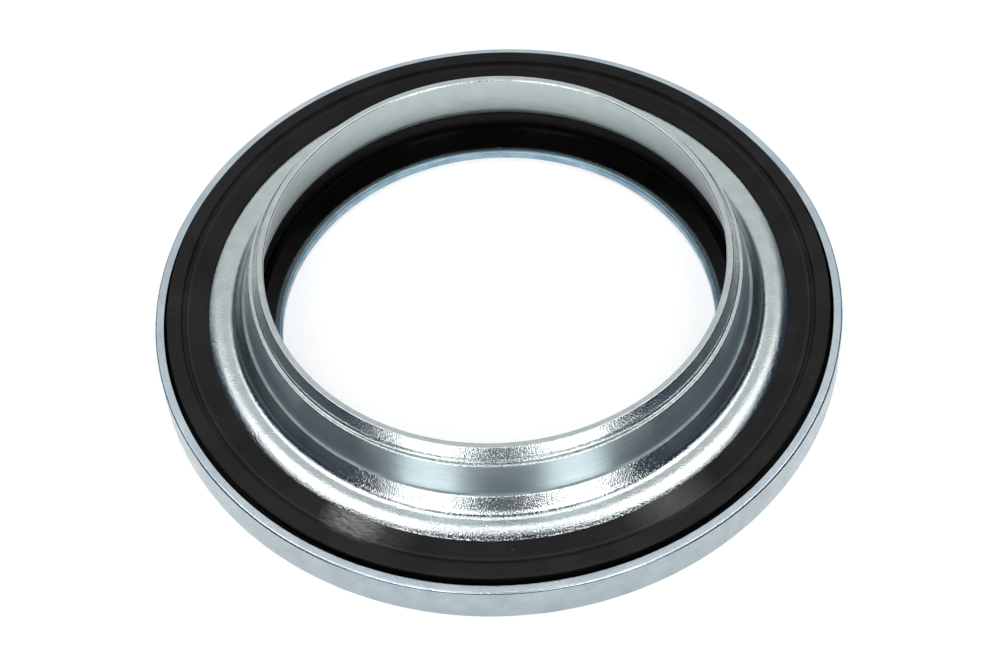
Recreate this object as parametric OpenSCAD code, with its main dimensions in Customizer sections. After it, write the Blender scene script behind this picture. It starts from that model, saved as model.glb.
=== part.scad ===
// Strut mount bearing: two pressed-steel races on a ring of balls, closed by an outer and an inner seal.
// The base ring lies on z = 0 and the axis of rotation is Z. All sizes are in millimetres.

/* [Lower cup] */
// Outer diameter of the cup's wall
cup_d = 118; // [104:0.5:134]
// Height of the cup's wall above the base
cup_h = 7.7; // [6:0.1:8.5]
// Sheet thickness of the cup
cup_t = 1.5; // [1.2:0.1:1.8]
// Outer radius of the bend between base and wall
cup_bend = 1.0; // [0.6:0.1:2]
// Inner radius of the bend between base and wall
cup_inner_bend = 0.6; // [0.3:0.1:1.2]
// Rounding of the wall's rim
rim_round = 0.4; // [0.2:0.05:0.6]
// Distance from the ball circle in to the bore of the inner flange
bore_in = 9.4; // [8.6:0.1:10.4]
// Rounding of the bore's upper edge
bore_round = 0.5; // [0.2:0.05:0.8]
// Height of the inner flange above the base ring
flange_rise = 1.2; // [0.8:0.1:1.6]
// Bare ring beside the bore, up to the inner seal
bore_land = 0.75; // [0.4:0.05:1.2]

/* [Balls and cage] */
// Ball diameter
ball_d = 5; // [4.5:0.1:5.5]
// Number of balls
ball_count = 40; // [30:1:44]
// Distance from the cup's outer wall in to the ball circle
pitch_in = 12; // [11.2:0.1:13.4]
// Clearance between a ball and its tracks
track_play = 0.05; // [0.03:0.01:0.1]
// Clearance between a ball and its pocket in the cage
pocket_play = 0.15; // [0.1:0.05:0.25]
// Clearance between the cage and the lower cup
cage_play = 0.45; // [0.35:0.05:0.6]
// Wall of the cage inside and outside the balls
cage_wall = 0.7; // [0.5:0.05:0.8]
// Width of the cage's inner rim
cage_rim_w = 0.8; // [0.6:0.05:0.9]
// Height of the cage's inner rim above its web
cage_rim_h = 1.55; // [0.8:0.05:1.7]
// Height of the cage's web above the ball centres
cage_web_h = 1.15; // [0.8:0.05:1.3]
// Depth of the cage's outer wall below the ball centres
cage_drop = 1.65; // [1.3:0.05:1.9]
// Width of the cage's web inside the ball pockets, rim included
cage_web_w = 1.25; // [1:0.05:1.4]

/* [Upper race] */
// Sheet thickness of the race's dome and flange
race_t = 2.6; // [2.3:0.05:2.8]
// Angle of the dome at which it bends out into the flange
skirt_angle = 50; // [44:1:56]
// Upper radius of the bend between dome and flange
flange_bend = 0.6; // [0.4:0.1:1]
// Distance from the ball circle in to the foot of the neck
neck_in = 3.95; // [3.7:0.05:4.4]
// Wall of the neck at its foot
neck_t = 2.3; // [2:0.05:2.5]
// Taper of the neck's wall, in degrees
neck_taper = 12.5; // [10:0.5:14]
// Height of the neck from its foot to the lip's step
neck_h = 5.85; // [4.5:0.05:7]
// Height of the neck's foot above the crest of the dome
shoulder_h = 2.85; // [2.4:0.05:3.1]
// Width of the ledge round the neck's foot
ledge_w = 0.3; // [0.2:0.05:0.5]
// Slope of the shoulder below the ledge, in degrees
shoulder_slope = 58; // [56:1:64]
// Rounding of the ledge's outer edge
shoulder_round = 0.4; // [0.2:0.05:0.6]
// Radius of the bend from the shoulder out to the dome
shoulder_bend = 1.85; // [1.5:0.05:2]
// Distance from the neck's top in to the lip
lip_in = 0.8; // [0.6:0.05:1]
// Height of the lip above its step
lip_h = 2.6; // [2:0.05:3.2]
// Rounding of the step's outer edge
step_round = 0.25; // [0.15:0.05:0.35]
// Radius of the bend from the step up into the lip
lip_bend = 0.2; // [0.1:0.05:0.3]
// Width of the bevel round the lip's outer edge
lip_bevel_w = 1; // [0.8:0.05:1.1]
// Slope of the lip's bevel, in degrees
lip_slope = 57; // [52:1:61]
// Rounding between the lip's bevel and its top
lip_round = 0.25; // [0.15:0.05:0.35]
// Rounding of the lip's inner edge
lip_inner_round = 0.3; // [0.2:0.05:0.4]
// Radius of the bend from the neck's bore out to the underside
inner_bend = 5.7; // [4.5:0.1:5.9]

/* [Outer seal] */
// Distance from the ball circle out to the seal's inner edge
seal_edge_out = 2.7; // [2.3:0.05:3]
// Height of the seal's inner edge above the dome
seal_edge_h = 0.25; // [0.15:0.05:0.4]
// Visible gap between the seal and the cup's wall
seal_gap = 0.7; // [0.5:0.05:0.9]
// Clearance between the sealing lip and the cup's wall
seal_lip_gap = 0.3; // [0.25:0.05:0.4]
// Width of the raised outer band
seal_band_w = 2.4; // [2:0.05:2.8]
// Height of the raised outer band
seal_band_h = 0.42; // [0.3:0.02:0.6]
// Rounding of the band's outer edge
seal_round = 0.35; // [0.2:0.05:0.4]
// Width of the groove inside the band
seal_groove_w = 0.75; // [0.5:0.05:1]
// Depth of the groove below the seal's top face
seal_groove_h = 0.2; // [0.1:0.05:0.3]
// Thickness of the flap along the band's outer edge
seal_flap_t = 0.5; // [0.45:0.05:0.7]
// Width of the undercut below the flap
seal_undercut = 1.2; // [0.8:0.05:1.3]
// Rubber outside the flange's edge
seal_side_t = 2; // [1.5:0.1:2.4]
// Rubber below the flange
seal_under_t = 0.8; // [0.6:0.05:1]

/* [Inner seal] */
// Height of the lip above the inner flange
inner_seal_h = 3.56; // [2.8:0.02:3.8]
// Radius of the rounded top of the lip
inner_seal_round = 0.8; // [0.6:0.05:0.9]
// Thickness of the skin at the bore's edge
inner_seal_skin = 0.35; // [0.25:0.05:0.5]
// Gap between the lip and the cage
inner_seal_gap = 1.23; // [1:0.01:1.4]

/* [Hidden] */
ball_names = [for (i = [1:ball_count]) str("ball_", i < 10 ? "0" : "", i)];

// Steps of one arc in a profile, and of a full turn
arc_steps = 14;
turn_steps = 180;
$fn = turn_steps;

// Lower cup and balls
cup_r = cup_d / 2;
wall_r = cup_r - cup_t;
pitch_r = cup_r - pitch_in;
bore_r = pitch_r - bore_in;
ball_r = ball_d / 2;
track_r = ball_r + track_play;
ball_z = cup_t + track_r;
flange_z = flange_rise + cup_t;

// Upper race, from the dome over the balls to the lip
dome_r = track_r + race_t;
under_z = ball_z + track_r;
crest_z = ball_z + dome_r;
bend_reach = dome_r + flange_bend;
bend_c = [pitch_r + bend_reach * sin(skirt_angle), ball_z + bend_reach * cos(skirt_angle)];
seal_r = wall_r - seal_gap;
race_edge_r = seal_r - seal_side_t;
race_edge_z = bend_c[1] - flange_bend;
race_edge_under_z = race_edge_z - race_t;
neck_r = pitch_r - neck_in;
ledge_r = neck_r + ledge_w;
ledge_z = crest_z + shoulder_h;
shoulder_arcs = shoulder_round + shoulder_bend;
shoulder_drop = shoulder_h - shoulder_arcs * (1 - cos(shoulder_slope));
land_r = ledge_r + shoulder_arcs * sin(shoulder_slope) + shoulder_drop / tan(shoulder_slope);
step_z = ledge_z + neck_h;
lip_r = neck_r - neck_h * tan(neck_taper) - lip_in;
lip_z = step_z + lip_h;
lip_bevel_z = lip_z - lip_bevel_w * tan(lip_slope);
neck_in_r = neck_r - neck_t;
lip_in_r = neck_in_r - (lip_z - ledge_z) * tan(neck_taper);

// Outer seal on the flange
seal_edge_r = pitch_r + seal_edge_out;
seal_edge_a = asin(seal_edge_out / dome_r);
seal_edge_z = ball_z + dome_r * cos(seal_edge_a);
seal_top_z = seal_edge_z + seal_edge_h;
seal_band_z = seal_top_z + seal_band_h;
seal_band_r = seal_r - seal_band_w;
seal_groove_r = seal_band_r - seal_groove_w;
seal_groove_z = seal_top_z - seal_groove_h;
seal_flap_z = seal_band_z - seal_flap_t;
seal_body_r = seal_r - seal_undercut;
seal_lip_r = wall_r - seal_lip_gap;
seal_under_z = race_edge_under_z - seal_under_t;

// Cage between the races
pocket_r = ball_r + pocket_play;
cage_in_r = pitch_r - pocket_r - cage_web_w;
cage_out_r = pitch_r + pocket_r + cage_wall;
cage_z = flange_z + cage_play;
cage_floor_z = ball_z - cage_drop;
cage_top_z = ball_z + cage_web_h;
cage_out_z = race_edge_under_z - cage_play;

// Inner seal beside the bore
seal_foot_r = bore_r + bore_round + bore_land;
inner_lip_r = cage_in_r - inner_seal_gap;
inner_lip_c = [inner_lip_r - inner_seal_round, flange_z + inner_seal_h - inner_seal_round];

steel = "#b8c1c4";
rubber = "#2a2928";
gloss_black = "#151414";
cage_black = "#222222";
ball_steel = "#8d9499";

// Points along an arc about c from angle a0 to angle a1
function arc(c, r, a0, a1) =
    [for (i = [0:arc_steps]) let(a = a0 + (a1 - a0) * i / arc_steps) c + r * [cos(a), sin(a)]];

// Centre at height z of an arc that lies a distance outside the line through p whose normal has angle a
function beside(p, a, distance, z) = [(distance + p * [cos(a), sin(a)] - z * sin(a)) / cos(a), z];

// The same points in the opposite order
function backwards(points) = [for (i = [len(points) - 1:-1:0]) points[i]];

// Upper side of the dome and of its bend into the flange, from angle a out to the flange
function dome_to_flange(a) = concat(
    arc([pitch_r, ball_z], dome_r, 90 - a, 90 - skirt_angle),
    arc(bend_c, flange_bend, 270 - skirt_angle, 270)
);

module turned(points) {
    rotate_extrude($fn = turn_steps) polygon(points);
}

module lower_cup() {
    track_top = acos((track_r - flange_rise) / track_r);
    track_r_under = track_r + cup_t;
    track_under = acos((track_r_under - flange_rise) / track_r_under);
    ball_c = [pitch_r, ball_z];
    color(steel) turned(concat(
        [[bore_r, flange_rise]],
        arc(ball_c, track_r_under, 270 - track_under, 270),
        arc([cup_r - cup_bend, cup_bend], cup_bend, -90, 0),
        arc([cup_r - rim_round, cup_h - rim_round], rim_round, 0, 90),
        [[wall_r, cup_h]],
        arc([wall_r - cup_inner_bend, cup_t + cup_inner_bend], cup_inner_bend, 0, -90),
        arc(ball_c, track_r, 270, 270 - track_top),
        arc([bore_r + bore_round, flange_z - bore_round], bore_round, 90, 180)
    ));
}

module upper_race() {
    step_c = beside([neck_r, ledge_z], neck_taper, -step_round, step_z - step_round);
    lip_c = beside([lip_r, lip_bevel_z], 90 - lip_slope, -lip_round, lip_z - lip_round);
    inner_bend_c = beside([neck_in_r, ledge_z], neck_taper, inner_bend, under_z + inner_bend);
    color(steel) turned(concat(
        // Neck and lip, from the foot up
        [[neck_r, ledge_z]],
        arc(step_c, step_round, neck_taper, 90),
        arc([lip_r + lip_bend, step_z + lip_bend], lip_bend, 270, 180),
        [[lip_r, lip_bevel_z]],
        arc(lip_c, lip_round, 90 - lip_slope, 90),
        arc([lip_in_r + lip_inner_round, lip_z - lip_inner_round], lip_inner_round, 90, 180 + neck_taper),
        // Bore side of the neck and underside of the dome
        arc(inner_bend_c, inner_bend, 180 + neck_taper, 270),
        arc([pitch_r, ball_z], track_r, 90, 90 - skirt_angle),
        arc(bend_c, flange_bend + race_t, 270 - skirt_angle, 270),
        // Edge of the flange, then back over the dome to the shoulder
        [[race_edge_r, race_edge_under_z], [race_edge_r, race_edge_z]],
        backwards(dome_to_flange(seal_edge_a)),
        arc([pitch_r, ball_z], dome_r, 90 - seal_edge_a, 90),
        arc([land_r, crest_z + shoulder_bend], shoulder_bend, 270, 270 - shoulder_slope),
        arc([ledge_r, ledge_z - shoulder_round], shoulder_round, 90 - shoulder_slope, 90)
    ));
}

module outer_seal() {
    edge_bond = dome_to_flange(seal_edge_a);
    lip_drop = seal_under_t / 2;
    band_slope = seal_band_h / 2;
    color(rubber) turned(concat(
        // Face bonded to the race
        edge_bond,
        [[race_edge_r, race_edge_z], [race_edge_r, race_edge_under_z], [bend_c[0], race_edge_under_z]],
        // Underside and sealing lip
        [[bend_c[0] + lip_drop, seal_under_z], [race_edge_r, seal_under_z]],
        [[seal_r, seal_under_z - lip_drop], [seal_lip_r, seal_under_z - lip_drop]],
        [[seal_lip_r, seal_under_z], [seal_body_r, race_edge_under_z]],
        // Undercut and flap
        [[seal_body_r, seal_flap_z - lip_drop], [seal_r - seal_round, seal_flap_z], [seal_r, seal_flap_z]],
        // Raised band, groove and top face
        arc([seal_r - seal_round, seal_band_z - seal_round], seal_round, 0, 90),
        [[seal_band_r, seal_band_z], [seal_band_r - band_slope, seal_groove_z]],
        [[seal_groove_r, seal_groove_z]],
        arc([seal_groove_r - seal_groove_h, seal_groove_z], seal_groove_h, 0, 90),
        arc([seal_edge_r + seal_edge_h, seal_edge_z], seal_edge_h, 90, 180)
    ));
}

module inner_seal() {
    skin_z = flange_z + inner_seal_skin;
    to_lip = inner_lip_c - [seal_foot_r, skin_z];
    face_a = atan2(to_lip[1], to_lip[0]) + asin(inner_seal_round / norm(to_lip));
    color(gloss_black) turned(concat(
        [[seal_foot_r, flange_z], [inner_lip_r + inner_seal_skin, flange_z]],
        arc(inner_lip_c, inner_seal_round, 0, 90 + face_a),
        [[seal_foot_r, skin_z]]
    ));
}

module ball(i) {
    color(ball_steel) rotate(i * 360 / ball_count) translate([pitch_r, 0, ball_z]) sphere(ball_r, $fn = 48);
}

module ball_cage() {
    rim_top_z = cage_top_z + cage_rim_h;
    // The web dips towards the cup and towards the flange half a ball radius from the ball centres
    inner_dip_r = pitch_r - ball_r / 2;
    outer_dip_r = pitch_r + ball_r / 2;
    color(cage_black) difference() {
        turned([
            [cage_in_r, cage_z],
            [inner_dip_r - cage_play, cage_z],
            [inner_dip_r + cage_play, cage_floor_z],
            [cage_out_r, cage_floor_z],
            [cage_out_r, cage_out_z],
            [cage_out_r - cage_wall, cage_out_z],
            [outer_dip_r, cage_top_z],
            [cage_in_r + cage_rim_w + cage_play, cage_top_z],
            [cage_in_r + cage_rim_w, rim_top_z],
            [cage_in_r, rim_top_z]
        ]);
        for (i = [0:ball_count - 1])
            rotate(i * 360 / ball_count) translate([pitch_r, 0, ball_z]) sphere(pocket_r, $fn = 48);
    }
}

lower_cup();
upper_race();
outer_seal();
inner_seal();
ball_cage();
for (i = [0:ball_count - 1]) {
    ball(i);
}
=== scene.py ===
"""Strut mount bearing: turned zinc-plated races, a matte and a glossy rubber seal, balls in a cage."""

import math

import bpy
from mathutils import Matrix, Vector


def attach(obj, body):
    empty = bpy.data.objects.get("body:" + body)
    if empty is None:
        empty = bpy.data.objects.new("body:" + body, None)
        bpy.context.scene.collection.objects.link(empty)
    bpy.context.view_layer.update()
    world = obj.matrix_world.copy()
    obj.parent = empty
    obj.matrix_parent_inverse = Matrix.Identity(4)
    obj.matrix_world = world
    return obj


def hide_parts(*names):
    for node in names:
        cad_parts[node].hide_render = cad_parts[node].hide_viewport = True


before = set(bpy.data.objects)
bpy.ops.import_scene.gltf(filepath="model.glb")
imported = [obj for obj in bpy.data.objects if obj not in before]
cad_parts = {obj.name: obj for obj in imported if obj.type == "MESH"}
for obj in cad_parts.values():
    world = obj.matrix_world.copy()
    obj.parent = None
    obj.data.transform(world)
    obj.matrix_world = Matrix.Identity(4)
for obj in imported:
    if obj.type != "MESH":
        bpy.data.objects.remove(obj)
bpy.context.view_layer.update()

# Sizes of the solids, in millimetres
MM = 0.001
CUP_R, CUP_H, CUP_T = 59.0, 7.7, 1.5
CUP_BEND, CUP_INNER_BEND, RIM_ROUND = 1.0, 0.6, 0.4
BORE_R, BORE_ROUND, FLANGE_RISE = 37.6, 0.5, 1.2
BORE_LAND = 0.75
PITCH_R, TRACK_R = 47.0, 2.55
RACE_T, SKIRT_ANGLE, FLANGE_BEND = 2.6, 50.0, 0.6
NECK_R, NECK_T, NECK_TAPER, NECK_H = 43.05, 2.3, 12.5, 5.85
SHOULDER_H, LEDGE_W, SHOULDER_SLOPE = 2.85, 0.3, 58.0
SHOULDER_ROUND, SHOULDER_BEND = 0.4, 1.85
LIP_IN, LIP_H, STEP_ROUND, LIP_BEND = 0.8, 2.6, 0.25, 0.2
LIP_BEVEL_W, LIP_SLOPE, LIP_ROUND = 1.0, 57.0, 0.25
LIP_INNER_ROUND, INNER_BEND = 0.3, 5.7
SEAL_EDGE_OUT, SEAL_EDGE_H, SEAL_GAP, SEAL_LIP_GAP = 2.7, 0.25, 0.7, 0.3
SEAL_BAND_W, SEAL_BAND_H, SEAL_ROUND = 2.4, 0.42, 0.35
SEAL_GROOVE_W, SEAL_GROOVE_H = 0.75, 0.2
SEAL_FLAP_T, SEAL_UNDERCUT = 0.5, 1.2
SEAL_SIDE_T, SEAL_UNDER_T = 2.0, 0.8
INNER_SEAL_H, INNER_SEAL_ROUND, INNER_SEAL_SKIN = 3.56, 0.8, 0.35
INNER_LIP_R = 41.87

# Meshing of the turned pieces: sides round the axis, the angle from which an edge is sharp, and how far
# and over what length the surface wanders
TURN_SEGMENTS, SHARP_ANGLE = 360, 28
UNEVENNESS, UNEVEN_LENGTH = 0.02, 22

# How far the ledge's band of painted shade, a darker and rougher zinc that damps the highlight its round
# would catch, reaches below and above it
LEDGE_BELOW, LEDGE_ABOVE = 0.06, 0.1

# Most values of a noise texture lie between these two
NOISE_LOW, NOISE_HIGH = 0.3, 0.7

# Camera, fitted to the circles of the rim, seal, neck and bore
CAMERA_AT = (0.0, -252.82, 332.40)
CAMERA_AIM = (0.05, -7.74, CUP_H)
CAMERA_ROLL = -3.757
CAMERA_LENS, SENSOR_W = 86.11, 36

# Stage cards, in metres: two straight ones beside the object and a curved one in front
SIDE_CARD_X, SIDE_CARD_Y, SIDE_CARD_H = 0.08, (-0.075, 0.06), 0.022
FRONT_CARD_R, FRONT_CARD_ANGLES, FRONT_CARD_H = 0.068, range(205, 346, 5), 0.0115


def sin(degrees):
    return math.sin(math.radians(degrees))


def cos(degrees):
    return math.cos(math.radians(degrees))


def tan(degrees):
    return math.tan(math.radians(degrees))


def linear(colour):
    """An sRGB hex colour as linear RGBA."""
    parts = [int(colour[i:i + 2], 16) / 255 for i in (1, 3, 5)]
    return [c / 12.92 if c <= 0.04045 else ((c + 0.055) / 1.055) ** 2.4 for c in parts] + [1.0]


def add(tree, kind, inputs=None, **settings):
    """A node with its settings, and its inputs set to values or linked to other nodes' outputs."""
    node = tree.nodes.new(kind)
    for name, value in settings.items():
        setattr(node, name, value)
    for name, value in (inputs or {}).items():
        if isinstance(value, bpy.types.NodeSocket):
            tree.links.new(value, node.inputs[name])
        else:
            node.inputs[name].default_value = value
    return node


def arc(centre, radius, start, end):
    """Points (r, z) along an arc, about one for every four degrees."""
    steps = max(4, math.ceil(abs(end - start) / 4))
    angles = [start + (end - start) * i / steps for i in range(steps + 1)]
    return [(centre[0] + radius * cos(a), centre[1] + radius * sin(a)) for a in angles]


# Profiles of the turned pieces, as (radius, height) in millimetres
BALL_Z = CUP_T + TRACK_R
FLANGE_Z = FLANGE_RISE + CUP_T
WALL_R = CUP_R - CUP_T
DOME_R = TRACK_R + RACE_T
CREST_Z = BALL_Z + DOME_R
UNDER_Z = BALL_Z + TRACK_R
BALL_C = (PITCH_R, BALL_Z)
BEND_REACH = DOME_R + FLANGE_BEND
BEND_C = (PITCH_R + BEND_REACH * sin(SKIRT_ANGLE), BALL_Z + BEND_REACH * cos(SKIRT_ANGLE))
SEAL_R = WALL_R - SEAL_GAP
RACE_EDGE_R = SEAL_R - SEAL_SIDE_T
RACE_EDGE_Z = BEND_C[1] - FLANGE_BEND
RACE_UNDER_Z = RACE_EDGE_Z - RACE_T
LEDGE_Z = CREST_Z + SHOULDER_H
STEP_Z = LEDGE_Z + NECK_H
LIP_Z = STEP_Z + LIP_H


def cup_profile():
    under_r = TRACK_R + CUP_T
    track_a = math.degrees(math.acos((TRACK_R - FLANGE_RISE) / TRACK_R))
    under_a = math.degrees(math.acos((under_r - FLANGE_RISE) / under_r))
    return (
        [(BORE_R, FLANGE_RISE)]
        + arc(BALL_C, under_r, 270 - under_a, 270)
        + arc((CUP_R - CUP_BEND, CUP_BEND), CUP_BEND, -90, 0)
        + arc((CUP_R - RIM_ROUND, CUP_H - RIM_ROUND), RIM_ROUND, 0, 90)
        + [(WALL_R, CUP_H)]
        + arc((WALL_R - CUP_INNER_BEND, CUP_T + CUP_INNER_BEND), CUP_INNER_BEND, 0, -90)
        + arc(BALL_C, TRACK_R, 270, 270 - track_a)
        + arc((BORE_R + BORE_ROUND, FLANGE_Z - BORE_ROUND), BORE_ROUND, 90, 180)
    )


def beside(point, angle, distance, z):
    """Centre, at height z, of an arc a distance outside a line through the point.

    The angle is that of the line's normal."""
    line = point[0] * cos(angle) + (point[1] - z) * sin(angle)
    return ((distance + line) / cos(angle), z)


def race_profile():
    ledge_r = NECK_R + LEDGE_W
    arcs = SHOULDER_ROUND + SHOULDER_BEND
    drop = SHOULDER_H - arcs * (1 - cos(SHOULDER_SLOPE))
    land_r = ledge_r + arcs * sin(SHOULDER_SLOPE) + drop / tan(SHOULDER_SLOPE)
    lip_r = NECK_R - NECK_H * tan(NECK_TAPER) - LIP_IN
    bevel_z = LIP_Z - LIP_BEVEL_W * tan(LIP_SLOPE)
    neck_in_r = NECK_R - NECK_T
    lip_in_r = neck_in_r - (LIP_Z - LEDGE_Z) * tan(NECK_TAPER)
    step_c = beside((NECK_R, LEDGE_Z), NECK_TAPER, -STEP_ROUND, STEP_Z - STEP_ROUND)
    lip_c = beside((lip_r, bevel_z), 90 - LIP_SLOPE, -LIP_ROUND, LIP_Z - LIP_ROUND)
    bend_c = beside((neck_in_r, LEDGE_Z), NECK_TAPER, INNER_BEND, UNDER_Z + INNER_BEND)
    return (
        [(NECK_R, LEDGE_Z)]
        + arc(step_c, STEP_ROUND, NECK_TAPER, 90)
        + arc((lip_r + LIP_BEND, STEP_Z + LIP_BEND), LIP_BEND, 270, 180)
        + [(lip_r, bevel_z)]
        + arc(lip_c, LIP_ROUND, 90 - LIP_SLOPE, 90)
        + arc((lip_in_r + LIP_INNER_ROUND, LIP_Z - LIP_INNER_ROUND), LIP_INNER_ROUND, 90, 180 + NECK_TAPER)
        + arc(bend_c, INNER_BEND, 180 + NECK_TAPER, 270)
        + arc(BALL_C, TRACK_R, 90, 90 - SKIRT_ANGLE)
        + arc(BEND_C, FLANGE_BEND + RACE_T, 270 - SKIRT_ANGLE, 270)
        + [(RACE_EDGE_R, RACE_UNDER_Z), (RACE_EDGE_R, RACE_EDGE_Z)]
        + arc(BEND_C, FLANGE_BEND, 270, 270 - SKIRT_ANGLE)
        + arc(BALL_C, DOME_R, 90 - SKIRT_ANGLE, 90)
        + arc((land_r, CREST_Z + SHOULDER_BEND), SHOULDER_BEND, 270, 270 - SHOULDER_SLOPE)
        + arc((ledge_r, LEDGE_Z - SHOULDER_ROUND), SHOULDER_ROUND, 90 - SHOULDER_SLOPE, 90)
    )


def outer_seal_profile():
    edge_r = PITCH_R + SEAL_EDGE_OUT
    edge_a = math.degrees(math.asin(SEAL_EDGE_OUT / DOME_R))
    edge_z = BALL_Z + DOME_R * cos(edge_a)
    top_z = edge_z + SEAL_EDGE_H
    band_z = top_z + SEAL_BAND_H
    band_r = SEAL_R - SEAL_BAND_W
    groove_r = band_r - SEAL_GROOVE_W
    groove_z = top_z - SEAL_GROOVE_H
    flap_z = band_z - SEAL_FLAP_T
    body_r = SEAL_R - SEAL_UNDERCUT
    lip_r = WALL_R - SEAL_LIP_GAP
    under_z = RACE_UNDER_Z - SEAL_UNDER_T
    drop = SEAL_UNDER_T / 2
    return (
        arc(BALL_C, DOME_R, 90 - edge_a, 90 - SKIRT_ANGLE)
        + arc(BEND_C, FLANGE_BEND, 270 - SKIRT_ANGLE, 270)
        + [(RACE_EDGE_R, RACE_EDGE_Z), (RACE_EDGE_R, RACE_UNDER_Z), (BEND_C[0], RACE_UNDER_Z)]
        + [(BEND_C[0] + drop, under_z), (RACE_EDGE_R, under_z), (SEAL_R, under_z - drop)]
        + [(lip_r, under_z - drop), (lip_r, under_z), (body_r, RACE_UNDER_Z)]
        + [(body_r, flap_z - drop), (SEAL_R - SEAL_ROUND, flap_z), (SEAL_R, flap_z)]
        + arc((SEAL_R - SEAL_ROUND, band_z - SEAL_ROUND), SEAL_ROUND, 0, 90)
        + [(band_r, band_z), (band_r - SEAL_BAND_H / 2, groove_z), (groove_r, groove_z)]
        + arc((groove_r - SEAL_GROOVE_H, groove_z), SEAL_GROOVE_H, 0, 90)
        + arc((edge_r + SEAL_EDGE_H, edge_z), SEAL_EDGE_H, 90, 180)
    )


def inner_seal_profile():
    foot_r = BORE_R + BORE_ROUND + BORE_LAND
    skin_z = FLANGE_Z + INNER_SEAL_SKIN
    lip_c = (INNER_LIP_R - INNER_SEAL_ROUND, FLANGE_Z + INNER_SEAL_H - INNER_SEAL_ROUND)
    dr, dz = lip_c[0] - foot_r, lip_c[1] - skin_z
    face_a = math.degrees(math.atan2(dz, dr) + math.asin(INNER_SEAL_ROUND / math.hypot(dr, dz)))
    return (
        [(foot_r, FLANGE_Z), (INNER_LIP_R + INNER_SEAL_SKIN, FLANGE_Z)]
        + arc(lip_c, INNER_SEAL_ROUND, 0, 90 + face_a)
        + [(foot_r, skin_z)]
    )


def turned_tree():
    """Geometry nodes that turn a flat profile about Z and give it a maker's slight unevenness."""
    tree = bpy.data.node_groups.new("turned_piece", "GeometryNodeTree")
    sockets = [
        ("Profile", "NodeSocketGeometry"),
        ("Path Radius", "NodeSocketFloat"),
        ("Segments", "NodeSocketInt"),
        ("Sharp Angle", "NodeSocketFloat"),
        ("Unevenness", "NodeSocketFloat"),
        ("Uneven Length", "NodeSocketFloat"),
        ("Seed", "NodeSocketFloat"),
        ("Material", "NodeSocketMaterial"),
    ]
    for name, kind in sockets:
        tree.interface.new_socket(name, in_out="INPUT", socket_type=kind)
    tree.interface.new_socket("Piece", in_out="OUTPUT", socket_type="NodeSocketGeometry")
    given = add(tree, "NodeGroupInput").outputs
    profile = add(tree, "GeometryNodeMeshToCurve", {"Mesh": given["Profile"]})
    path = add(tree, "GeometryNodeCurvePrimitiveCircle",
               {"Resolution": given["Segments"], "Radius": given["Path Radius"]})
    ring = add(tree, "GeometryNodeCurveToMesh",
               {"Curve": path.outputs["Curve"], "Profile Curve": profile.outputs["Curve"]})
    outward = add(tree, "GeometryNodeFlipFaces", {"Mesh": ring.outputs["Mesh"]})
    # The surface wanders in and out along its normal
    place = add(tree, "GeometryNodeInputPosition")
    per_length = add(tree, "ShaderNodeMath", {0: 1.0, 1: given["Uneven Length"]}, operation="DIVIDE")
    noise = add(tree, "ShaderNodeTexNoise",
                {"Vector": place.outputs[0], "W": given["Seed"],
                 "Scale": per_length.outputs[0], "Detail": 1.0},
                noise_dimensions="4D")
    centred = add(tree, "ShaderNodeMath", {0: noise.outputs["Fac"], 1: 0.5}, operation="SUBTRACT")
    amount = add(tree, "ShaderNodeMath",
                 {0: centred.outputs[0], 1: given["Unevenness"]}, operation="MULTIPLY")
    facing = add(tree, "GeometryNodeInputNormal")
    shift = add(tree, "ShaderNodeVectorMath",
                {0: facing.outputs[0], "Scale": amount.outputs[0]}, operation="SCALE")
    uneven = add(tree, "GeometryNodeSetPosition",
                 {"Geometry": outward.outputs[0], "Offset": shift.outputs[0]})
    # Smooth faces, with sharp edges where two of them meet at a larger angle
    smooth = add(tree, "GeometryNodeSetShadeSmooth", {"Geometry": uneven.outputs[0]}, domain="FACE")
    angle = add(tree, "GeometryNodeInputMeshEdgeAngle")
    is_soft = add(tree, "FunctionNodeCompare",
                  {"A": angle.outputs["Unsigned Angle"], "B": given["Sharp Angle"]},
                  data_type="FLOAT", operation="LESS_THAN")
    edges = add(tree, "GeometryNodeSetShadeSmooth",
                {"Geometry": smooth.outputs[0], "Shade Smooth": is_soft.outputs[0]}, domain="EDGE")
    real = add(tree, "GeometryNodeRealizeInstances", {"Geometry": edges.outputs[0]})
    coated = add(tree, "GeometryNodeSetMaterial",
                 {"Geometry": real.outputs[0], "Material": given["Material"]})
    add(tree, "NodeGroupOutput", {"Piece": coated.outputs[0]})
    return tree


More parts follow.
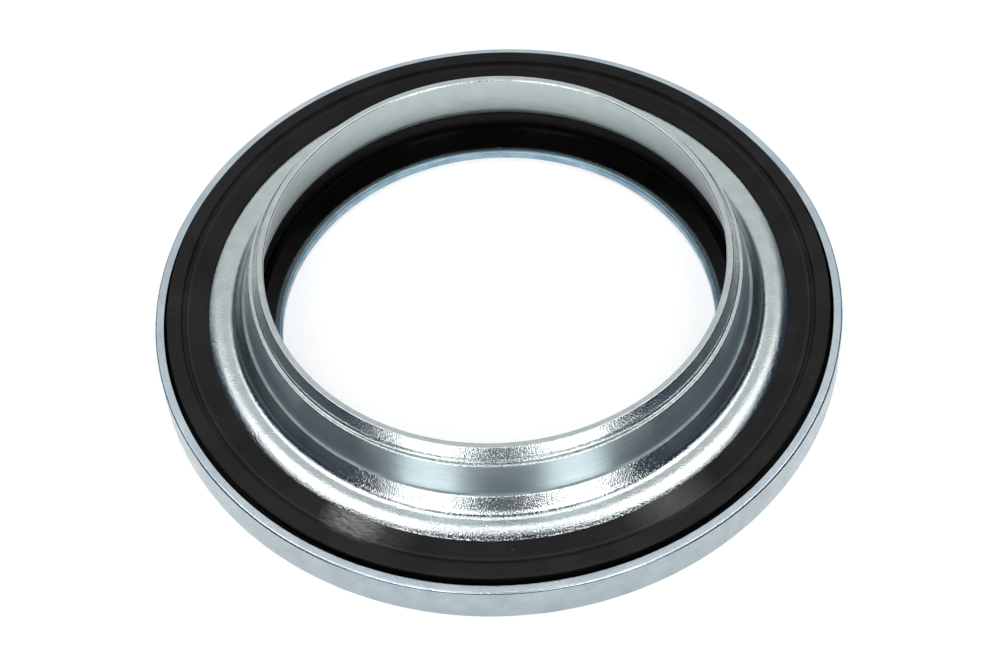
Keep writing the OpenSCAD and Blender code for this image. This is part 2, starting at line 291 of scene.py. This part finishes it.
def turn(name, profile, tree, material, other_finishes, seed):
    """One turned piece from its profile, as a plain mesh, with other finishes where their tests hold."""
    path_r = sum(r for r, z in profile) / len(profile)
    # Neighbouring arcs share a point, which is taken once
    points = [p for i, p in enumerate(profile) if math.dist(p, profile[i - 1]) > 1e-6]
    flat = bpy.data.meshes.new(name + "_profile")
    # On the circle's path, a profile's X points outwards and its Y down
    verts = [((r - path_r) * MM, -z * MM, 0) for r, z in points]
    flat.from_pydata(verts, [(i, (i + 1) % len(verts)) for i in range(len(verts))], [])
    maker = bpy.data.objects.new(name + "_maker", flat)
    bpy.context.scene.collection.objects.link(maker)
    modifier = maker.modifiers.new("turned", "NODES")
    modifier.node_group = tree
    values = {
        "Path Radius": path_r * MM,
        "Segments": TURN_SEGMENTS,
        "Sharp Angle": math.radians(SHARP_ANGLE),
        "Unevenness": UNEVENNESS * MM,
        "Uneven Length": UNEVEN_LENGTH * MM,
        "Seed": float(seed),
        "Material": material,
    }
    for item in tree.interface.items_tree:
        if item.name in values:
            modifier[item.identifier] = values[item.name]
    made = maker.evaluated_get(bpy.context.evaluated_depsgraph_get())
    mesh = bpy.data.meshes.new_from_object(made)
    mesh.name = name
    for slot, (finish, here) in enumerate(other_finishes, 1):
        mesh.materials.append(finish)
        for face in mesh.polygons:
            x, y, z = face.center / MM
            if here(math.hypot(x, y), z):
                face.material_index = slot
    bpy.data.objects.remove(maker)
    bpy.data.meshes.remove(flat)
    piece = bpy.data.objects.new(name, mesh)
    bpy.context.scene.collection.objects.link(piece)
    return piece


def finish_of(name):
    """A new material: its node tree, its Principled shader and the Object coordinates."""
    material = bpy.data.materials.new(name)
    material.use_nodes = True
    tree = material.node_tree
    shader = tree.nodes["Principled BSDF"]
    coords = add(tree, "ShaderNodeTexCoord").outputs["Object"]
    return material, tree, shader, coords


def about_axis(tree, coords):
    """Sockets for the height, the distance from the axis, and the unit vector out from the axis."""
    spot = add(tree, "ShaderNodeSeparateXYZ", {"Vector": coords})
    flat = add(tree, "ShaderNodeCombineXYZ", {"X": spot.outputs["X"], "Y": spot.outputs["Y"]})
    out = add(tree, "ShaderNodeVectorMath", {0: flat.outputs[0]}, operation="LENGTH")
    outwards = add(tree, "ShaderNodeVectorMath", {0: flat.outputs[0]}, operation="NORMALIZE")
    return spot.outputs["Z"], out.outputs["Value"], outwards.outputs[0]


def along_rings(tree, outwards, per_radian, across, width_mm):
    """Coordinates for marks that follow the rings: how many fit in a radian, and their width across."""
    spread = add(tree, "ShaderNodeVectorMath", {0: outwards, "Scale": per_radian}, operation="SCALE")
    steps = add(tree, "ShaderNodeMath", {0: across, 1: 1 / (width_mm * MM)}, operation="MULTIPLY")
    lift = add(tree, "ShaderNodeCombineXYZ", {"Z": steps.outputs[0]})
    joined = add(tree, "ShaderNodeVectorMath",
                 {0: spread.outputs[0], 1: lift.outputs[0]}, operation="ADD")
    return joined.outputs[0]


def zinc_plate(name, dark, light, rough, peel_um, rings_um, streaks=0.0):
    # Zinc plating on steel sheet: a pale grey mirror, clouded by its passivation. Its orange peel breaks
    # reflections into sparks, and the fine rings of the drawing die blur them across the rings
    material, tree, shader, coords = finish_of(name)
    height, out, outwards = about_axis(tree, coords)
    # Drawing rings about 0.25 mm apart, which fade in and out about every 8 mm round the axis
    ringwise = along_rings(tree, outwards, 6.0, height, 0.25)
    rings = add(tree, "ShaderNodeTexNoise", {"Vector": ringwise, "Scale": 1.0, "Detail": 2.0})
    # Clouds about 3 mm across, drawn out into streaks where the die rubbed
    clouds = add(tree, "ShaderNodeTexNoise", {"Vector": coords, "Scale": 1 / (3 * MM), "Detail": 5.0})
    mixed = add(tree, "ShaderNodeMix",
                {0: streaks, 2: clouds.outputs["Fac"], 3: rings.outputs["Fac"]})
    tone = add(tree, "ShaderNodeMapRange",
               {"Value": mixed.outputs[0], "From Min": NOISE_LOW, "From Max": NOISE_HIGH})
    colour = add(tree, "ShaderNodeMix",
                 {0: tone.outputs[0], 6: linear(dark), 7: linear(light)}, data_type="RGBA")
    sheen = add(tree, "ShaderNodeMapRange",
                {"Value": mixed.outputs[0], "From Min": NOISE_LOW, "From Max": NOISE_HIGH,
                 "To Min": rough[1], "To Max": rough[0]})
    # Orange peel about 0.22 mm wide and 0.34 mm long, stretched along the way the sheet was drawn
    run = add(tree, "ShaderNodeMath", {0: out, 1: height}, operation="SUBTRACT")
    grain = along_rings(tree, outwards, PITCH_R / 0.22, run.outputs[0], 0.34)
    peel = add(tree, "ShaderNodeTexNoise", {"Vector": grain, "Scale": 1.0, "Detail": 1.0})
    bumps = add(tree, "ShaderNodeBump",
                {"Strength": 1.0, "Distance": peel_um * 1e-6, "Height": peel.outputs["Fac"]})
    drawn = add(tree, "ShaderNodeBump",
                {"Strength": 1.0, "Distance": rings_um * 1e-6, "Height": rings.outputs["Fac"],
                 "Normal": bumps.outputs[0]})
    shader.inputs["Metallic"].default_value = 1.0
    tree.links.new(colour.outputs[2], shader.inputs["Base Color"])
    tree.links.new(sheen.outputs[0], shader.inputs["Roughness"])
    tree.links.new(drawn.outputs[0], shader.inputs["Normal"])
    return material


def brushed_round(material):
    """Stretches a turned surface's highlights across the rings that run round the axis."""
    tree = material.node_tree
    shader = tree.nodes["Principled BSDF"]
    ring = add(tree, "ShaderNodeTangent", direction_type="RADIAL", axis="Z")
    shader.inputs["Anisotropic"].default_value = 1.0
    # A quarter turn, from along the rings to across them
    shader.inputs["Anisotropic Rotation"].default_value = 0.25
    tree.links.new(ring.outputs[0], shader.inputs["Tangent"])
    return material


def matte_rubber(name):
    # Moulded nitrile rubber: near black and matte, with a fine grain, specks of dust, grey scuffs and a
    # painted highlight line inside the groove
    material, tree, shader, coords = finish_of(name)
    _, out, outwards = about_axis(tree, coords)
    band_in_r = SEAL_R - SEAL_BAND_W
    # Where the painted highlight line lies, inside the groove
    bead_highlight_r = band_in_r - SEAL_GROOVE_W - 0.45
    # Clouds of dust about 7 mm across
    dust = add(tree, "ShaderNodeTexNoise",
               {"Vector": coords, "Scale": 1 / (7 * MM), "Detail": 6.0}).outputs["Fac"]
    wear_and_highlight = add(tree, "ShaderNodeMapRange",
               {"Value": dust, "From Min": 0.4, "From Max": 0.8, "To Max": 0.035})
    # Streaks that run round the seal, about 1.2 mm long and 0.25 mm wide
    along = along_rings(tree, outwards, 42.0, out, 0.25)
    streak = add(tree, "ShaderNodeTexNoise",
                 {"Vector": along, "Scale": 1.0, "Detail": 4.0}).outputs["Fac"]
    # Scuffs on the face inside the band: a rubbed patch with a paler middle at the front left, and an even
    # haze at the front right. Each has its place and reach in mm, its strength and its evenness
    scuffs = [
        ((-23, -45, 8.7), 9, 0.2, 0.15),
        ((-25.3, -44, 8.7), 6, 0.85, 0.15),
        ((25.5, -44.3, 8.7), 9, 0.24, 0.7),
    ]
    face_only = add(tree, "ShaderNodeMapRange",
                    {"Value": out, "From Min": (band_in_r - 1.2) * MM, "From Max": band_in_r * MM,
                     "To Min": 1.0, "To Max": 0.0})
    for place, reach, strength, evenness in scuffs:
        streaky = add(tree, "ShaderNodeMapRange",
                      {"Value": streak, "From Min": NOISE_LOW, "From Max": NOISE_HIGH,
                       "To Min": evenness})
        far = add(tree, "ShaderNodeVectorMath",
                  {0: coords, 1: [c * MM for c in place]}, operation="DISTANCE")
        near = add(tree, "ShaderNodeMapRange",
                   {"Value": far.outputs["Value"], "From Max": reach * MM,
                    "To Min": strength, "To Max": 0.0})
        rubbed = add(tree, "ShaderNodeMath",
                     {0: near.outputs[0], 1: streaky.outputs[0]}, operation="MULTIPLY")
        rubbed = add(tree, "ShaderNodeMath",
                     {0: rubbed.outputs[0], 1: face_only.outputs[0]}, operation="MULTIPLY")
        wear_and_highlight = add(tree, "ShaderNodeMath",
                   {0: wear_and_highlight.outputs[0], 1: rubbed.outputs[0]}, operation="ADD")
    # The outer band is a little paler than the face inside it
    band = add(tree, "ShaderNodeMapRange",
               {"Value": out, "From Min": (band_in_r - 0.8) * MM, "From Max": band_in_r * MM})
    base = add(tree, "ShaderNodeMix",
               {0: band.outputs[0], 6: linear("#100f0f"), 7: linear("#171616")}, data_type="RGBA")
    # A painted highlight just inside the groove: a pale line where a raised bead would catch the light,
    # which fades out 0.35 mm to each side
    past = add(tree, "ShaderNodeMath", {0: out, 1: bead_highlight_r * MM}, operation="SUBTRACT")
    off = add(tree, "ShaderNodeMath", {0: past.outputs[0]}, operation="ABSOLUTE")
    bead_highlight = add(tree, "ShaderNodeMapRange",
                {"Value": off.outputs[0], "From Max": 0.35 * MM, "To Min": 0.035, "To Max": 0.0})
    wear_and_highlight = add(tree, "ShaderNodeMath", {0: wear_and_highlight.outputs[0], 1: bead_highlight.outputs[0]}, operation="ADD")
    # The pale colour takes the dust, the scuffs and the painted highlight line
    colour = add(tree, "ShaderNodeMix",
                 {0: wear_and_highlight.outputs[0], 6: base.outputs[2], 7: linear("#a4a29f")}, data_type="RGBA")
    # Specks of dust up to 0.3 mm across
    specks = add(tree, "ShaderNodeTexNoise",
                 {"Vector": coords, "Scale": 1 / (0.45 * MM), "Detail": 1.0}).outputs["Fac"]
    speck = add(tree, "ShaderNodeMapRange",
                {"Value": specks, "From Min": 0.8, "From Max": 0.84, "To Max": 0.4})
    dotted = add(tree, "ShaderNodeMix",
                 {0: speck.outputs[0], 6: colour.outputs[2], 7: linear("#b9b7b2")}, data_type="RGBA")
    # Grain about 0.2 mm across
    grain = add(tree, "ShaderNodeTexNoise",
                {"Vector": coords, "Scale": 1 / (0.2 * MM), "Detail": 2.0}).outputs["Fac"]
    bumps = add(tree, "ShaderNodeBump", {"Strength": 1.0, "Distance": 6e-6, "Height": grain})
    rough = add(tree, "ShaderNodeMapRange", {"Value": dust, "To Min": 0.5, "To Max": 0.75})
    shader.inputs["Specular IOR Level"].default_value = 0.2
    tree.links.new(dotted.outputs[2], shader.inputs["Base Color"])
    tree.links.new(rough.outputs[0], shader.inputs["Roughness"])
    tree.links.new(bumps.outputs[0], shader.inputs["Normal"])
    return material


def glossy_rubber(name):
    # Moulded rubber with an oily skin: deep black with clear, slightly wavy reflections
    material, tree, shader, coords = finish_of(name)
    # An oil film in patches about 5 mm across
    film = add(tree, "ShaderNodeTexNoise", {"Vector": coords, "Scale": 1 / (5 * MM), "Detail": 5.0})
    colour = add(tree, "ShaderNodeMix",
                 {0: film.outputs["Fac"], 6: linear("#030303"), 7: linear("#0b0a09")}, data_type="RGBA")
    sheen = add(tree, "ShaderNodeMapRange", {"Value": film.outputs["Fac"], "To Min": 0.08, "To Max": 0.2})
    shader.inputs["Specular IOR Level"].default_value = 0.02
    # Waves about 1.2 mm across
    wave = add(tree, "ShaderNodeTexNoise", {"Vector": coords, "Scale": 1 / (1.2 * MM), "Detail": 2.0})
    bumps = add(tree, "ShaderNodeBump", {"Strength": 1.0, "Distance": 1.2e-5, "Height": wave.outputs["Fac"]})
    tree.links.new(colour.outputs[2], shader.inputs["Base Color"])
    tree.links.new(sheen.outputs[0], shader.inputs["Roughness"])
    tree.links.new(bumps.outputs[0], shader.inputs["Normal"])
    return material


def cage_polyamide(name):
    # Injection-moulded black polyamide: dark, with a dull sheen and a faint texture from the mould
    material, tree, shader, coords = finish_of(name)
    # Mould texture about 2 mm across
    cloud = add(tree, "ShaderNodeTexNoise", {"Vector": coords, "Scale": 1 / (2 * MM), "Detail": 3.0})
    colour = add(tree, "ShaderNodeMix",
                 {0: cloud.outputs["Fac"], 6: linear("#1c1b1a"), 7: linear("#2b2927")}, data_type="RGBA")
    bumps = add(tree, "ShaderNodeBump", {"Strength": 1.0, "Distance": 8e-6, "Height": cloud.outputs["Fac"]})
    shader.inputs["Roughness"].default_value = 0.5
    tree.links.new(colour.outputs[2], shader.inputs["Base Color"])
    tree.links.new(bumps.outputs[0], shader.inputs["Normal"])
    return material


def ball_steel(name):
    # Ground and lapped bearing steel: a dark mirror under a thin film of grease
    material, tree, shader, coords = finish_of(name)
    # Grease in patches about 1.5 mm across
    film = add(tree, "ShaderNodeTexNoise", {"Vector": coords, "Scale": 1 / (1.5 * MM), "Detail": 3.0})
    colour = add(tree, "ShaderNodeMix",
                 {0: film.outputs["Fac"], 6: linear("#8d9499"), 7: linear("#a7adb0")}, data_type="RGBA")
    sheen = add(tree, "ShaderNodeMapRange", {"Value": film.outputs["Fac"], "To Min": 0.06, "To Max": 0.2})
    shader.inputs["Metallic"].default_value = 1.0
    tree.links.new(colour.outputs[2], shader.inputs["Base Color"])
    tree.links.new(sheen.outputs[0], shader.inputs["Roughness"])
    return material


def paper(name, corners, colour, top_up):
    """A sheet of pale paper that keeps its tone to the camera and in reflections, and takes the shadow."""
    mesh = bpy.data.meshes.new(name)
    rows = len(corners) // 2
    faces = [(2 * i, 2 * i + 1, 2 * i + 3, 2 * i + 2) for i in range(rows - 1)]
    mesh.from_pydata(corners, [], faces)
    sheet = bpy.data.objects.new(name, mesh)
    bpy.context.scene.collection.objects.link(sheet)
    material, tree, shader, _ = finish_of(name + "_paper")
    shader.inputs["Base Color"].default_value = linear(colour)
    shader.inputs["Roughness"].default_value = 1.0
    shader.inputs["Specular IOR Level"].default_value = 0.0
    path = add(tree, "ShaderNodeLightPath")
    seen = add(tree, "ShaderNodeMath",
               {0: path.outputs["Is Camera Ray"], 1: path.outputs["Is Glossy Ray"]}, operation="MAXIMUM")
    seen = add(tree, "ShaderNodeMath",
               {0: seen.outputs[0], 1: path.outputs["Is Transmission Ray"]}, operation="MAXIMUM")
    glow = add(tree, "ShaderNodeMath", {0: seen.outputs[0], 1: top_up}, operation="MULTIPLY")
    shader.inputs["Emission Color"].default_value = linear(colour)
    tree.links.new(glow.outputs[0], shader.inputs["Emission Strength"])
    mesh.materials.append(material)


def softbox(name, at, size, radiance):
    """A rectangular white lamp facing the object, as bright as radiance says wherever it is seen."""
    lamp = bpy.data.lights.new(name, "AREA")
    lamp.shape = "RECTANGLE"
    lamp.size, lamp.size_y = size
    # A Lambert emitter of this area sends out radiance times pi times its area
    lamp.energy = radiance * math.pi * size[0] * size[1]
    place = bpy.data.objects.new(name, lamp)
    place.location = at
    place.rotation_euler = (-Vector(at)).to_track_quat("-Z", "Y").to_euler()
    bpy.context.scene.collection.objects.link(place)


def dark_card(name, foot, height, colour):
    """A dark card that stands on the floor along a line of points and is seen in reflections alone."""
    mesh = bpy.data.meshes.new(name)
    corners = [(x, y, z) for x, y in foot for z in (0, height)]
    faces = [(2 * i, 2 * i + 2, 2 * i + 3, 2 * i + 1) for i in range(len(foot) - 1)]
    mesh.from_pydata(corners, [], faces)
    card = bpy.data.objects.new(name, mesh)
    bpy.context.scene.collection.objects.link(card)
    material, _, shader, _ = finish_of(name + "_felt")
    shader.inputs["Base Color"].default_value = linear(colour)
    shader.inputs["Roughness"].default_value = 1.0
    shader.inputs["Specular IOR Level"].default_value = 0.0
    mesh.materials.append(material)
    card.visible_camera = card.visible_diffuse = card.visible_shadow = False


def studio():
    """Pale floor and backdrop, soft lamps and the cards, with sizes and places in metres."""
    scene = bpy.context.scene
    scene.view_settings.view_transform = "Standard"
    world = bpy.data.worlds.new("studio")
    scene.world = world
    world.use_nodes = True
    back = world.node_tree.nodes["Background"]
    back.inputs["Color"].default_value = linear("#2e394d")
    back.inputs["Strength"].default_value = 1.0
    paper("floor", [(x, y, 0) for y in (-4, 4) for x in (-4, 4)], "#ebebeb", 0.6)
    # A backdrop that stands behind the object and leans a little over it: left, right, depth and height
    rows = [
        (-3, 2.2, 2.4, 0),
        (-3, 2.2, 2.4, 2.0),
        (-2.6, 2.1, 1.9, 2.8),
        (-2.4, 2, 1.75, 3.0),
        (-2.2, 1.8, 1.45, 3.25),
    ]
    corners = [(x, y, z) for left, right, y, z in rows for x in (left, right)]
    paper("backdrop", corners, "#e1e4e3", 0.86)
    # Two upright softboxes beside the camera, and a dim panel between them that keeps the gap from turning
    # black in the collar
    softbox("left_box", (-0.49, -0.88, 0.55), (0.42, 1.1), 4.2)
    softbox("right_box", (0.42, -0.92, 0.55), (0.42, 1.1), 4.2)
    softbox("fill_box", (-0.04, -1.0, 0.6), (0.5, 0.9), 0.3)
    # Two square softboxes above, with a gap between them
    softbox("top_left_box", (-0.43, 0.12, 1.1), (0.74, 0.74), 2.25)
    softbox("top_right_box", (0.43, 0.12, 1.1), (0.74, 0.74), 2.25)
    # Cards that draw the dark bands on the collar
    for name, x in (("left_card", -SIDE_CARD_X), ("right_card", SIDE_CARD_X)):
        dark_card(name, [(x, y) for y in SIDE_CARD_Y], SIDE_CARD_H, "#868b93")
    curve = [(FRONT_CARD_R * cos(a), FRONT_CARD_R * sin(a)) for a in FRONT_CARD_ANGLES]
    dark_card("front_card", curve, FRONT_CARD_H, "#6c7179")


def camera():
    lens = bpy.data.cameras.new("camera")
    lens.lens = CAMERA_LENS
    lens.sensor_width = SENSOR_W
    view = bpy.data.objects.new("camera", lens)
    at = Vector(CAMERA_AT) * MM
    aim = Vector(CAMERA_AIM) * MM - at
    level = aim.to_track_quat("-Z", "Y").to_matrix().to_4x4()
    view.matrix_world = Matrix.Translation(at) @ level @ Matrix.Rotation(math.radians(CAMERA_ROLL), 4, "Z")
    bpy.context.scene.collection.objects.link(view)
    bpy.context.scene.camera = view


camera()
studio()

turning = turned_tree()
peeled_zinc = zinc_plate(
    "bright_zinc_plate", "#c2cac9", "#d0d6d4", (0.1, 0.17), peel_um=46, rings_um=1)
drawn_zinc = brushed_round(zinc_plate(
    "drawn_zinc_plate", "#b6cacf", "#dae8ea", (0.27, 0.38), peel_um=6, rings_um=8, streaks=0.7))
pressed_zinc = zinc_plate(
    "pressed_zinc_plate", "#afb8b7", "#bbc4c3", (0.36, 0.42), peel_um=4, rings_um=1, streaks=0.4)
cup_zinc = zinc_plate(
    "blue_zinc_plate", "#97a3a7", "#a3aeb1", (0.22, 0.3), peel_um=3, rings_um=1)
sheared_zinc = zinc_plate(
    "sheared_zinc_edge", "#b0bfca", "#d9e0e4", (0.2, 0.3), peel_um=34, rings_um=1, streaks=0.6)
# Painted shade on the ledge: a darker zinc, rougher too, that keeps its rounded edge from shining
dim_painted_ledge_zinc = zinc_plate(
    "zinc_ledge_painted_dim", "#8d9696", "#a2abaa", (0.5, 0.6), peel_um=6, rings_um=1)
# Painted reflection on the bore land: a darker blue-grey zinc that stands in for the black seal mirrored in
# it
dark_painted_bore_zinc = zinc_plate(
    "zinc_bore_painted_dark", "#7692a2", "#9ab2be", (0.34, 0.44), peel_um=6, rings_um=1)
seal_rubber = matte_rubber("matte_nitrile_rubber")
gloss_rubber = glossy_rubber("glossy_nitrile_rubber")


# Where the races' other finishes lie, by radius and height in millimetres
def on_rim(r, z):
    return z > CUP_H - RIM_ROUND


def on_bore_ring(r, z):
    return r < BORE_R + BORE_ROUND + BORE_LAND


def in_neck_bore(r, z):
    return z < LIP_Z - LIP_INNER_ROUND and r + (z - LEDGE_Z) * tan(NECK_TAPER) < NECK_R - NECK_T / 2


def on_neck(r, z):
    return LEDGE_Z + LEDGE_ABOVE < z < STEP_Z - STEP_ROUND and not in_neck_bore(r, z)


def on_ledge(r, z):
    return LEDGE_Z - LEDGE_BELOW < z < LEDGE_Z + LEDGE_ABOVE and NECK_R < r


cup_finishes = [(sheared_zinc, on_rim), (dark_painted_bore_zinc, on_bore_ring)]
race_finishes = [(drawn_zinc, on_neck), (pressed_zinc, in_neck_bore), (dim_painted_ledge_zinc, on_ledge)]
turned_pieces = [
    ("lower_cup_turned", cup_profile(), cup_zinc, cup_finishes,
     "lower_ring", "lower_cup", "zinc_steel"),
    ("upper_race_turned", race_profile(), peeled_zinc, race_finishes,
     "upper_ring", "upper_race", "zinc_steel"),
    ("outer_seal_turned", outer_seal_profile(), seal_rubber, [],
     "upper_ring", "outer_seal", "seal_rubber"),
    ("inner_seal_turned", inner_seal_profile(), gloss_rubber, [],
     "lower_ring", "inner_seal", "gloss_rubber"),
]
for seed, (name, profile, material, other_finishes, body, node, slot) in enumerate(turned_pieces):
    piece = turn(name, profile, turning, material, other_finishes, seed)
    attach(piece, body)
    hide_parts(node)

cage = cage_polyamide("moulded_polyamide")
balls = ball_steel("lapped_bearing_steel")
for name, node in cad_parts.items():
    if name.startswith("ball_"):
        node.data.materials.clear()
        node.data.materials.append(cage if name == "ball_cage" else balls)
